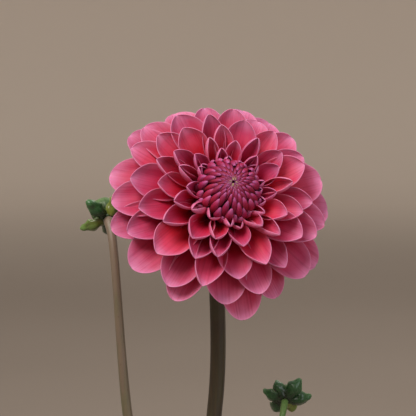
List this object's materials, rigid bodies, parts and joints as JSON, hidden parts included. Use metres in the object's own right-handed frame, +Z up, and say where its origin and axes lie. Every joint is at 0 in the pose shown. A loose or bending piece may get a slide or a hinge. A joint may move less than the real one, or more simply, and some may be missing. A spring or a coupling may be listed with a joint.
{
  "type": "dahlia in a bud vase",
  "caption": "Cut decorative dahlia with layered cupped florets round a closed centre, two side buds on bent stems, standing in water in a narrow-necked stoneware bud vase.",
  "frame": {"origin": "centre of the vase's flat base, on the surface that it stands on", "axes": "+Z up along the vase's axis; the bloom looks towards -Y and a little up; +X is to the right when the bloom is seen from the front"},
  "size_m": [0.1285, 0.093, 0.4348],
  "materials": {
    "outer_floret": "satin",
    "inner_floret": "satin",
    "closed_floret": "satin",
    "receptacle": "matte",
    "bract": "satin",
    "bud": "satin",
    "mature_stem": "satin",
    "young_stem": "satin",
    "glazed_stoneware": "satin",
    "water": "polished"
  },
  "bodies": {
    "root": {"bloom_bract_1": "bract", "bloom_bract_2": "bract", "bloom_bract_3": "bract", "bloom_bract_4": "bract", "bloom_bract_5": "bract", "closed_centre": "closed_floret", "floret_row_3": "inner_floret", "floret_row_4": "inner_floret", "floret_row_5": "inner_floret", "floret_row_6": "inner_floret", "left_bud_bract_1": "bract", "left_bud_bract_2": "bract", "left_bud_bract_3": "bract", "left_bud_bract_4": "bract", "left_bud_bract_5": "bract", "left_bud_heart": "bud", "left_bud_stem": "mature_stem", "main_stem": "mature_stem", "receptacle": "receptacle", "right_bud_bract_1": "bract", "right_bud_bract_2": "bract", "right_bud_bract_3": "bract", "right_bud_bract_4": "bract", "right_bud_bract_5": "bract", "right_bud_bract_6": "bract", "right_bud_heart": "bud", "right_bud_stem": "young_stem", "row1_floret_01": "outer_floret", "row1_floret_02": "outer_floret", "row1_floret_03": "outer_floret", "row1_floret_04": "outer_floret", "row1_floret_05": "outer_floret", "row1_floret_06": "outer_floret", "row1_floret_07": "outer_floret", "row1_floret_08": "outer_floret", "row1_floret_09": "outer_floret", "row1_floret_10": "outer_floret", "row1_floret_11": "outer_floret", "row1_floret_12": "outer_floret", "row1_floret_13": "outer_floret", "row2_floret_01": "outer_floret", "row2_floret_02": "outer_floret", "row2_floret_03": "outer_floret", "row2_floret_04": "outer_floret", "row2_floret_05": "outer_floret", "row2_floret_06": "outer_floret", "row2_floret_07": "outer_floret", "row2_floret_08": "outer_floret", "row2_floret_09": "outer_floret", "row2_floret_10": "outer_floret", "row2_floret_11": "outer_floret", "row2_floret_12": "outer_floret", "row2_floret_13": "outer_floret", "vase": "glazed_stoneware", "water": "water"}
  },
  "joints": []
}
